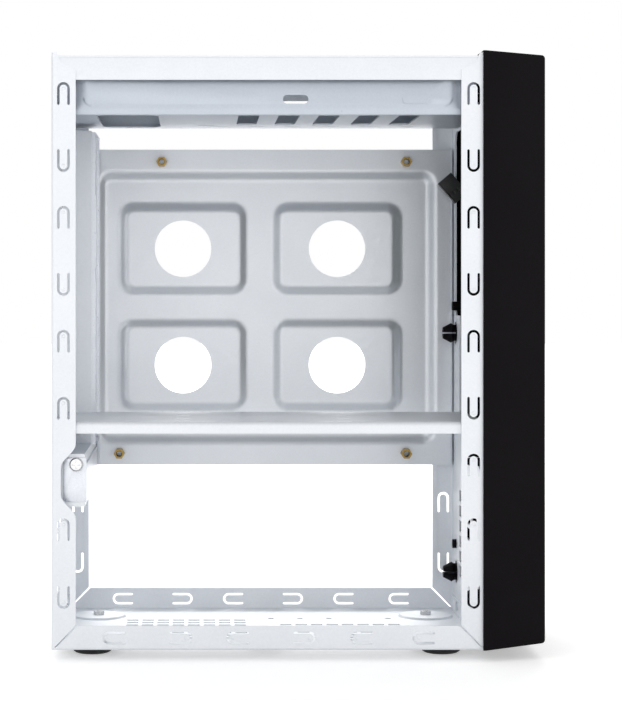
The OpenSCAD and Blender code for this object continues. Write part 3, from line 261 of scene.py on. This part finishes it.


# One finish for each material slot of the record, and own ones for the tray and the shelf; the shelf's is
# the same zinc steel toned darker as painted shade
MATERIALS = {
    "steel_sheet": finish_material("zinc_steel", ZINC, {
        "Pale": rgb(0.87, 0.89, 0.92), "Dull": rgb(0.78, 0.81, 0.85),
        "Base Roughness": 0.42}, Metallic=0.35),
    "tray_sheet": finish_material("tray_steel", ZINC, {
        "Pale": rgb(0.78, 0.80, 0.83), "Dull": rgb(0.69, 0.72, 0.76),
        "Base Roughness": 0.38}, Metallic=0.5),
    # Painted shade: the shelf's zinc steel is toned darker than the other sheets for the shade and dark
    # reflections on its lip
    "shaded_shelf_sheet": finish_material("shaded_shelf_steel", ZINC, {
        "Pale": rgb(0.54, 0.58, 0.64), "Dull": rgb(0.46, 0.50, 0.56),
        "Base Roughness": 0.38}, Metallic=0.5),
    "plated_sheet": finish_material("plated_sheet", ZINC, {
        "Pale": rgb(0.8, 0.82, 0.86), "Dull": rgb(0.66, 0.68, 0.73), "Base Roughness": 0.34,
        "Grain Depth": 0.05}, Metallic=0.75),
    "screw_steel": finish_material("screw_steel", ZINC, {
        "Pale": rgb(0.8, 0.8, 0.8), "Dull": rgb(0.6, 0.6, 0.61), "Base Roughness": 0.28}, Metallic=1.0),
    "rivet_steel": finish_material("rivet_steel", ZINC, {
        "Pale": rgb(0.72, 0.75, 0.8), "Dull": rgb(0.56, 0.59, 0.64),
        "Base Roughness": 0.4}, Metallic=0.8),
    # Brass, with painted shade in the standoffs' threaded bores
    "brass": add_bore_shade(finish_material("brass", ZINC, {
        "Pale": rgb(0.42, 0.28, 0.09), "Dull": rgb(0.28, 0.18, 0.05),
        "Base Roughness": 0.34}, Metallic=0.9)),
    "black_plastic": finish_material("black_moulding", SKIN, {
        "Tone": rgb(0.003, 0.002, 0.003), "Rub Tone": rgb(0.005, 0.004, 0.005)}, Specular_IOR_Level=0.08),
    "button_plastic": finish_material("button_moulding", SKIN, {
        "Tone": rgb(0.016, 0.016, 0.018), "Rub Tone": rgb(0.03, 0.03, 0.034),
        "Base Roughness": 0.3}, bump=0.1),
    "dark_plastic": finish_material("dark_moulding", SKIN, {
        "Tone": rgb(0.012, 0.012, 0.013), "Rub Tone": rgb(0.03, 0.03, 0.032),
        "Base Roughness": 0.45}, bump=0.15),
    "green_lens": finish_material("green_lens", SKIN, {
        "Tone": rgb(0.12, 0.55, 0.2), "Rub Tone": rgb(0.18, 0.62, 0.26),
        "Base Roughness": 0.12}, bump=0.02),
    "red_lens": finish_material("red_lens", SKIN, {
        "Tone": rgb(0.6, 0.06, 0.04), "Rub Tone": rgb(0.66, 0.1, 0.07),
        "Base Roughness": 0.12}, bump=0.02),
    "circuit_board": finish_material("circuit_board", SKIN, {
        "Tone": rgb(0.012, 0.11, 0.045), "Rub Tone": rgb(0.02, 0.15, 0.06),
        "Base Roughness": 0.35}, bump=0.1),
    "pink_plastic": finish_material("pink_moulding", SKIN, {
        "Tone": rgb(0.72, 0.2, 0.3), "Rub Tone": rgb(0.76, 0.25, 0.35),
        "Base Roughness": 0.35}, bump=0.1),
    "green_plastic": finish_material("green_moulding", SKIN, {
        "Tone": rgb(0.2, 0.55, 0.16), "Rub Tone": rgb(0.25, 0.6, 0.2),
        "Base Roughness": 0.35}, bump=0.1),
    "lead_rubber": finish_material("lead_sheath", SKIN, {
        "Tone": rgb(0.012, 0.012, 0.014), "Rub Tone": rgb(0.03, 0.03, 0.033),
        "Base Roughness": 0.5}, bump=0.15),
    "foot_rubber": finish_material("foot_rubber", SKIN, {
        "Tone": rgb(0.012, 0.012, 0.013), "Rub Tone": rgb(0.03, 0.03, 0.03), "Base Roughness": 0.7,
        "Grain Scale": 900.0}, bump=0.4),
}

OWN_FINISH = {"board_tray": "tray_sheet", "drive_shelf": "shaded_shelf_sheet"}
SLOTS = {part["node"]: part["material_slot"] for part in frame["record"]["subparts"]}
for name in SLOTS:
    solid = bpy.data.objects[name]
    finish = MATERIALS[OWN_FINISH.get(name, SLOTS[name])]
    if not solid.material_slots:
        solid.data.materials.append(finish)
    for slot in solid.material_slots:
        slot.material = finish


# Geometry-nodes helpers
def new_tree(name, inputs):
    tree = bpy.data.node_groups.new(name, "GeometryNodeTree")
    tree.interface.new_socket("Geometry", in_out="INPUT", socket_type="NodeSocketGeometry")
    for label, kind, value in inputs:
        socket = tree.interface.new_socket(label, in_out="INPUT", socket_type=kind)
        if value is not None:
            socket.default_value = value
    tree.interface.new_socket("Geometry", in_out="OUTPUT", socket_type="NodeSocketGeometry")
    return tree, tree.nodes.new("NodeGroupInput"), tree.nodes.new("NodeGroupOutput")


def add_tree(piece, name, tree, values):
    """Puts a geometry-nodes modifier on a piece and sets the tree's named inputs."""
    modifier = piece.modifiers.new(name, "NODES")
    modifier.node_group = tree
    for item in tree.interface.items_tree:
        if item.item_type == "SOCKET" and item.in_out == "INPUT" and item.name in values:
            modifier[item.identifier] = values[item.name]


def close_tree(tree, geometry, entry, out):
    """Ends a tree with real geometry in the material of its Finish input."""
    real = add_node(tree, "GeometryNodeRealizeInstances", {"Geometry": geometry})
    finish = add_node(tree, "GeometryNodeSetMaterial", {
        "Geometry": real.outputs[0], "Material": entry.outputs["Finish"]})
    tree.links.new(finish.outputs[0], out.inputs["Geometry"])


# Round faces of the welded CAD meshes shade smoothly, their sharp folds stay sharp
SMOOTH_LIMIT, BEVEL_LIMIT = math.radians(30), math.radians(40)
WELD_REACH, BEVEL_SEGMENTS = 0.00001, 2


def make_smoothing():
    tree, entry, out = new_tree("smooth_rounds", [("Limit", "NodeSocketFloat", SMOOTH_LIMIT)])
    faces = add_node(tree, "GeometryNodeSetShadeSmooth", {
        "Geometry": entry.outputs["Geometry"], "Shade Smooth": True}, domain="FACE")
    angle = add_node(tree, "GeometryNodeInputMeshEdgeAngle")
    flat = add_node(tree, "FunctionNodeCompare", data_type="FLOAT", operation="LESS_THAN")
    tree.links.new(angle.outputs["Unsigned Angle"], flat.inputs[0])
    tree.links.new(entry.outputs["Limit"], flat.inputs[1])
    edges = add_node(tree, "GeometryNodeSetShadeSmooth", {
        "Geometry": faces.outputs[0], "Shade Smooth": flat.outputs[0]}, domain="EDGE")
    tree.links.new(edges.outputs[0], out.inputs["Geometry"])
    return tree


SMOOTHING = make_smoothing()
# Moulded and bent parts with visibly broken edges, with the edge's width
EDGE_WIDTHS = {
    "bay_cover": 0.3, "lead_connector": 0.15, "lead_clip": 0.25, "power_switch": 0.2, "reset_switch": 0.2,
    "slot_cover": 0.2, "front_board": 0.15}


def finish_solid(name):
    solid = bpy.data.objects[name]
    weld = solid.modifiers.new("weld", "WELD")
    weld.merge_threshold = WELD_REACH
    if name in EDGE_WIDTHS:
        bevel = solid.modifiers.new("edge", "BEVEL")
        bevel.width = EDGE_WIDTHS[name] * MM
        bevel.segments = BEVEL_SEGMENTS
        bevel.limit_method = "ANGLE"
        bevel.angle_limit = BEVEL_LIMIT
    add_tree(solid, "rounds", SMOOTHING, {})


for name in SLOTS:
    finish_solid(name)


def new_piece(name, mesh):
    piece = bpy.data.objects.new(name, mesh)
    bpy.context.scene.collection.objects.link(piece)
    return piece


def mesh_piece(name, verts, edges, faces):
    mesh = bpy.data.meshes.new(name)
    mesh.from_pydata([tuple(vert) for vert in verts], edges, faces)
    return new_piece(name, mesh)


def settle(piece, body, slot, *replaced):
    """Turns a piece's modifiers into a plain mesh and sets it on its body."""
    depsgraph = bpy.context.evaluated_depsgraph_get()
    mesh = bpy.data.meshes.new_from_object(piece.evaluated_get(depsgraph), depsgraph=depsgraph)
    name = piece.name
    bpy.data.objects.remove(piece)
    settled = new_piece(name, mesh)
    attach(settled, body)
    if replaced:
        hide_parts(*replaced)


# Board tray: one pressed sheet with softly rounded embossing, in the case frame
SHEET, TRAY_END_GAP = 0.8, 1.3
TRAY_X0, TRAY_X1, TRAY_Y = 16.0, CASE_LEN - TRAY_END_GAP, 124.0
TRAY_Z0, TRAY_H = 79.2, 170.6
SKIRT_BACK, FOOT_FLANGE, BEND_R, BEND_STEPS = 129.2, 6.4, 1.2, 4
FIELD_END, FIELD_FOOT, FIELD_HEAD, FIELD_R = 8.8, 10.9, 11.4, 7.5
FIELD = (TRAY_X0 + SHEET, TRAY_X1 - FIELD_END, TRAY_Z0 + FIELD_FOOT, TRAY_Z0 + TRAY_H - FIELD_HEAD)
FIELD_IN, PAD_OUT, SLOPE = 3.0, 2.6, 5.4
PADS_AT = ((FIELD[0] + FIELD[1]) / 2 - 3.8, (FIELD[2] + FIELD[3]) / 2 + 0.4)
PAD_PITCH, PAD_SIZE, PAD_R, WINDOW_R = (83.4, 63.0), (70.6, 50.6), 8.7, 15.3
TRAY_CELL, WINDOW_SIDES, CUT_NEAR, CUT_FAR = 1.15, 64, 4, 8


def inside_depth(x, z, cx, cz, w, h, r):
    """How deep a point lies inside a rounded rectangle."""
    dx = abs(x - cx) - (w / 2 - r)
    dz = abs(z - cz) - (h / 2 - r)
    outside = math.hypot(max(dx, 0), max(dz, 0)) + min(max(dx, dz), 0) - r
    return -outside


def ease(depth):
    """S-shaped rise over the width of the slope."""
    t = min(max(depth / SLOPE, 0), 1)
    return t * t * (3 - 2 * t)


def pad_centres():
    return [(PADS_AT[0] + i * PAD_PITCH[0] / 2, PADS_AT[1] + k * PAD_PITCH[1] / 2)
            for i in (-1, 1) for k in (-1, 1)]


def press_depth(x, z):
    x0, x1, z0, z1 = FIELD
    depth = FIELD_IN * ease(inside_depth(x, z, (x0 + x1) / 2, (z0 + z1) / 2, x1 - x0, z1 - z0, FIELD_R))
    for cx, cz in pad_centres():
        depth -= PAD_OUT * ease(inside_depth(x, z, cx, cz, PAD_SIZE[0], PAD_SIZE[1], PAD_R))
    return depth


def bend(cx, cy, start):
    """A quarter turn of the sheet around a centre."""
    turns = [start + math.pi / 2 * i / BEND_STEPS for i in range(BEND_STEPS + 1)]
    return [(cx + BEND_R * math.cos(turn), cy + BEND_R * math.sin(turn), False) for turn in turns]


def tray_profile():
    """Points of the sheet's face from the rear skirt to the front one, each with whether it is pressed."""
    flat_x0, flat_len = TRAY_X0 + BEND_R, TRAY_X1 - TRAY_X0 - 2 * BEND_R
    count = round(flat_len / TRAY_CELL)
    columns = [(TRAY_X0, SKIRT_BACK, False)] + bend(flat_x0, TRAY_Y + BEND_R, math.pi)
    columns += [(flat_x0 + flat_len * i / count, TRAY_Y, True) for i in range(1, count)]
    columns += bend(TRAY_X1 - BEND_R, TRAY_Y + BEND_R, -math.pi / 2)
    columns += bend(TRAY_X1 - BEND_R, SKIRT_BACK - BEND_R, 0)
    return columns + [(TRAY_X1 - FOOT_FLANGE, SKIRT_BACK, False)]


def window_cutter():
    verts, faces = [], []
    for cx, cz in pad_centres():
        base = len(verts)
        for y in (TRAY_Y - CUT_NEAR, TRAY_Y + CUT_FAR):
            for k in range(WINDOW_SIDES):
                turn = math.tau * k / WINDOW_SIDES
                verts.append(spot(cx + WINDOW_R * math.cos(turn), y, cz + WINDOW_R * math.sin(turn)))
        near = [base + k for k in range(WINDOW_SIDES)]
        far = [corner + WINDOW_SIDES for corner in near]
        for k in range(WINDOW_SIDES):
            n = (k + 1) % WINDOW_SIDES
            faces.append((near[k], far[k], far[n], near[n]))
        faces += [near, far[::-1]]
    return mesh_piece("window_cutter", verts, [], faces)


def make_tray():
    columns = tray_profile()
    rows, width = round(TRAY_H / TRAY_CELL), len(columns)
    verts, faces = [], []
    for k in range(rows + 1):
        z = TRAY_Z0 + TRAY_H * k / rows
        verts += [spot(x, y + (press_depth(x, z) if pressed else 0), z) for x, y, pressed in columns]
    for k in range(rows):
        for a in range(k * width, k * width + width - 1):
            faces.append((a, a + 1, a + 1 + width, a + width))
    tray = mesh_piece("tray_sheet", verts, [], faces)
    for face in tray.data.polygons:
        face.use_smooth = True
    tray.data.materials.append(MATERIALS["tray_sheet"])
    wall = tray.modifiers.new("wall", "SOLIDIFY")
    wall.thickness = SHEET * MM
    wall.offset = -1
    cutter = window_cutter()
    cut = tray.modifiers.new("windows", "BOOLEAN")
    cut.object = cutter
    cut.operation = "DIFFERENCE"
    cut.solver = "EXACT"
    add_tree(tray, "rounds", SMOOTHING, {})
    settle(tray, "case", "steel_sheet", "board_tray")
    bpy.data.objects.remove(cutter)


make_tray()


# Small domes on every contact finger, set by geometry nodes on a cloud of points
DOME_R, DOME_H = 0.9, 0.3


def make_domes():
    tree, entry, out = new_tree("contact_domes", [
        ("Radius", "NodeSocketFloat", DOME_R * MM), ("Height", "NodeSocketFloat", DOME_H * MM),
        ("Finish", "NodeSocketMaterial", None)])
    dome = add_node(tree, "GeometryNodeMeshUVSphere", {"Segments": 16, "Rings": 8, "Radius": 1.0})
    shape = add_node(tree, "ShaderNodeCombineXYZ", {
        "X": entry.outputs["Radius"], "Y": entry.outputs["Height"], "Z": entry.outputs["Radius"]})
    smooth = add_node(tree, "GeometryNodeSetShadeSmooth", {"Geometry": dome.outputs["Mesh"]})
    placed = add_node(tree, "GeometryNodeInstanceOnPoints", {
        "Points": entry.outputs["Geometry"], "Instance": smooth.outputs[0], "Scale": shape.outputs[0]})
    close_tree(tree, placed.outputs[0], entry, out)
    return tree


# Fingers of the flanges: the first one's drop below the top, their pitch, and the dome's reach
FINGER_TOP, FINGER_PITCH, FINGER_SHIFT, FINGER_ARC, FLANGE_MID = 18.5, 30.0, 2.5, 2.4, 5.9
SECOND_Z, LOWEST_Z = 58.4, 25.5
FLOOR_START, FLOOR_COUNT, SHIFTED_ON_FLOOR = 30.3, 6, (1, 3)
REAR_COUNT, FRONT_COUNT = 6, 7


def finger_domes(y):
    """Middles of the domes on one side of the case: rear and front flange, then the floor's."""
    spots = []
    for count, last_up, x in ((REAR_COUNT, True, FLANGE_MID), (FRONT_COUNT, False, CASE_LEN - FLANGE_MID)):
        for k in range(count):
            drop = FINGER_TOP + FINGER_PITCH * k + (FINGER_SHIFT if k % 2 else 0)
            up = k % 2 == 0 or (last_up and k == count - 1)
            spots.append(spot(x, y, CASE_H - drop + (FINGER_ARC if up else -FINGER_ARC)))
        spots.append(spot(x, y, SECOND_Z + FINGER_ARC))
        spots.append(spot(x, y, LOWEST_Z - FINGER_ARC))
    for k in range(FLOOR_COUNT):
        along = FLOOR_START + FINGER_PITCH * k + (FINGER_SHIFT if k in SHIFTED_ON_FLOOR else 0)
        left = k % 2 == 0 or k == FLOOR_COUNT - 1
        spots.append(spot(along + (-FINGER_ARC if left else FINGER_ARC), y, FLANGE_MID))
    return spots


domes = mesh_piece("contact_domes", finger_domes(0.0) + finger_domes(CASE_W), [], [])
add_tree(domes, "domes", make_domes(), {
    "Radius": DOME_R * MM, "Height": DOME_H * MM, "Finish": MATERIALS["steel_sheet"]})
settle(domes, "case", "steel_sheet")


# Lead of the front ports: two thin strands, swept by geometry nodes along the CAD tube's route. The points
# run from the front board to the plug, with x from the front wall's outside
LEAD_ROUTE = [
    (14.5, 96, 128), (10.5, 96, 128), (7.2, 97, 125.5), (5.6, 98.5, 119), (5.1, 99.8, 111),
    (5, 100.3, 101), (5, 100.3, 91), (5, 101.6, 82), (5, 106, 76.5), (5, 110.4, 79), (5, 111.8, 86),
    (5, 111.9, 94), (5, 111.2, 103), (5, 109.5, 112), (5, 107.3, 121), (4.9, 105.8, 131), (4.7, 105, 141),
    (4.4, 105, 151), (3.9, 106, 161), (3.3, 107.6, 171), (2.8, 109.2, 181), (2.6, 110.6, 191),
    (3, 111.6, 201), (4, 112, 209), (4.6, 112, 214), (4.65, 112, 217), (4.2, 112, 219.6),
    (3.1, 112, 221.6), (1.8, 112, 223.1)]
STRAND_R, STRAND_APART, STRAND_TURN, STRAND_SIDES, STRAND_STEP = 0.62, 0.62, 0.5, 12, 1.5
ACROSS_HINT = Vector((0, 1, 0.2))


def make_strands():
    tree, entry, out = new_tree("lead_strands", [
        ("Strand Radius", "NodeSocketFloat", STRAND_R * MM), ("Step", "NodeSocketFloat", STRAND_STEP * MM),
        ("Finish", "NodeSocketMaterial", None)])
    line = add_node(tree, "GeometryNodeMeshToCurve", {"Mesh": entry.outputs["Geometry"]})
    bent = add_node(tree, "GeometryNodeCurveSplineType", {
        "Curve": line.outputs[0]}, spline_type="CATMULL_ROM")
    even = add_node(tree, "GeometryNodeResampleCurve", {
        "Curve": bent.outputs[0], "Length": entry.outputs["Step"]}, mode="LENGTH")
    ring = add_node(tree, "GeometryNodeCurvePrimitiveCircle", {
        "Resolution": STRAND_SIDES, "Radius": entry.outputs["Strand Radius"]})
    swept = add_node(tree, "GeometryNodeCurveToMesh", {
        "Curve": even.outputs[0], "Profile Curve": ring.outputs["Curve"], "Fill Caps": True})
    smooth = add_node(tree, "GeometryNodeSetShadeSmooth", {"Geometry": swept.outputs[0]})
    close_tree(tree, smooth.outputs[0], entry, out)
    return tree


def strand_paths():
    """Two lines that wind around the route, as vertices and edges."""
    route = [spot(x + CASE_LEN, y, z) for x, y, z in LEAD_ROUTE]
    verts, edges = [], []
    for strand in (1, -1):
        start = len(verts)
        for k, point in enumerate(route):
            along = (route[min(k + 1, len(route) - 1)] - route[max(k - 1, 0)]).normalized()
            across = (ACROSS_HINT - along * along.dot(ACROSS_HINT)).normalized()
            turn = STRAND_TURN * k
            outward = across * math.cos(turn) + along.cross(across) * math.sin(turn)
            verts.append(point + outward * strand * STRAND_APART * MM)
        edges += [(start + k, start + k + 1) for k in range(len(route) - 1)]
    return verts, edges


strands = mesh_piece("lead_strands", *strand_paths(), [])
add_tree(strands, "strands", make_strands(), {
    "Strand Radius": STRAND_R * MM, "Step": STRAND_STEP * MM, "Finish": MATERIALS["lead_rubber"]})
settle(strands, "case", SLOTS["front_lead"], "front_lead")


# Studio: a pale floor that whitens away from the object, a white backdrop and soft lamps
FLOOR_TONE, FLOOR_LIFT, WHITEN_FROM, WHITEN_GAIN = 0.8, 0.42, 0.25, 0.5
FLOOR_CORNERS = ((-6, -4, 0), (6, -4, 0), (6, 5, 0), (-6, 5, 0))
SKY_LIGHT, SKY_SEEN = 0.65, 0.35
WHITE = rgb(1, 1, 1)
LAMP_TARGET, GROUND_TARGET, TOP_TARGET = (0, 0, 0.15), (0, 0.45, 0), (0, 0, 0.1)


def studio_material(name):
    material = bpy.data.materials.new(name)
    material.use_nodes = True
    tree = material.node_tree
    tree.nodes.clear()
    out = add_node(tree, "ShaderNodeOutputMaterial")
    diffuse = add_node(tree, "ShaderNodeBsdfDiffuse", {"Color": rgb(FLOOR_TONE, FLOOR_TONE, FLOOR_TONE)})
    seen = add_node(tree, "ShaderNodeLightPath")
    rays = seen.outputs["Is Camera Ray"]
    for kind in ("Is Glossy Ray", "Is Transmission Ray"):
        rays = math_node(tree, "MAXIMUM", rays, seen.outputs[kind])
    reach = vector_node(tree, "LENGTH", object_coords(tree))
    away = math_node(tree, "MULTIPLY", math_node(tree, "SUBTRACT", reach.outputs["Value"], WHITEN_FROM),
                     WHITEN_GAIN, clamp=True)
    strength = math_node(tree, "MULTIPLY", rays, math_node(tree, "ADD", away, FLOOR_LIFT))
    glow = add_node(tree, "ShaderNodeEmission", {"Color": WHITE, "Strength": strength})
    total = add_node(tree, "ShaderNodeAddShader", {0: diffuse.outputs[0], 1: glow.outputs[0]})
    tree.links.new(total.outputs[0], out.inputs["Surface"])
    return material


floor = mesh_piece("floor", FLOOR_CORNERS, [], [(0, 1, 2, 3)])
floor.data.materials.append(studio_material("floor"))

world = bpy.data.worlds.new("studio")
bpy.context.scene.world = world
world.use_nodes = True
sky = world.node_tree
background = sky.nodes["Background"]
background.inputs["Color"].default_value = WHITE
camera_ray = add_node(sky, "ShaderNodeLightPath").outputs["Is Camera Ray"]
sky.links.new(math_node(sky, "ADD", math_node(sky, "MULTIPLY", camera_ray, SKY_SEEN), SKY_LIGHT),
              background.inputs["Strength"])


def soft_lamp(name, place, target, size, power):
    data = bpy.data.lights.new(name, "AREA")
    data.shape = "RECTANGLE"
    data.size, data.size_y = size
    data.energy = power
    lamp = bpy.data.objects.new(name, data)
    lamp.location = place
    lamp.rotation_euler = (Vector(target) - Vector(place)).to_track_quat("-Z", "Y").to_euler()
    bpy.context.scene.collection.objects.link(lamp)


# Name, place, target and size in metres, and power in watts
soft_lamp("front", (-0.1, -1.7, 0.5), LAMP_TARGET, (1.3, 1.0), 2.5)
soft_lamp("key", (-0.9, -1.2, 0.9), LAMP_TARGET, (0.9, 0.9), 3.6)
soft_lamp("fill", (1.3, -1.2, 0.6), LAMP_TARGET, (0.9, 0.9), 4.2)
soft_lamp("top", (0, 0.2, 1.6), TOP_TARGET, (1.2, 0.9), 0.6)
soft_lamp("ground", (0, 1.3, 1.1), GROUND_TARGET, (1.4, 0.7), 17)
bpy.context.scene.view_settings.view_transform = "Standard"
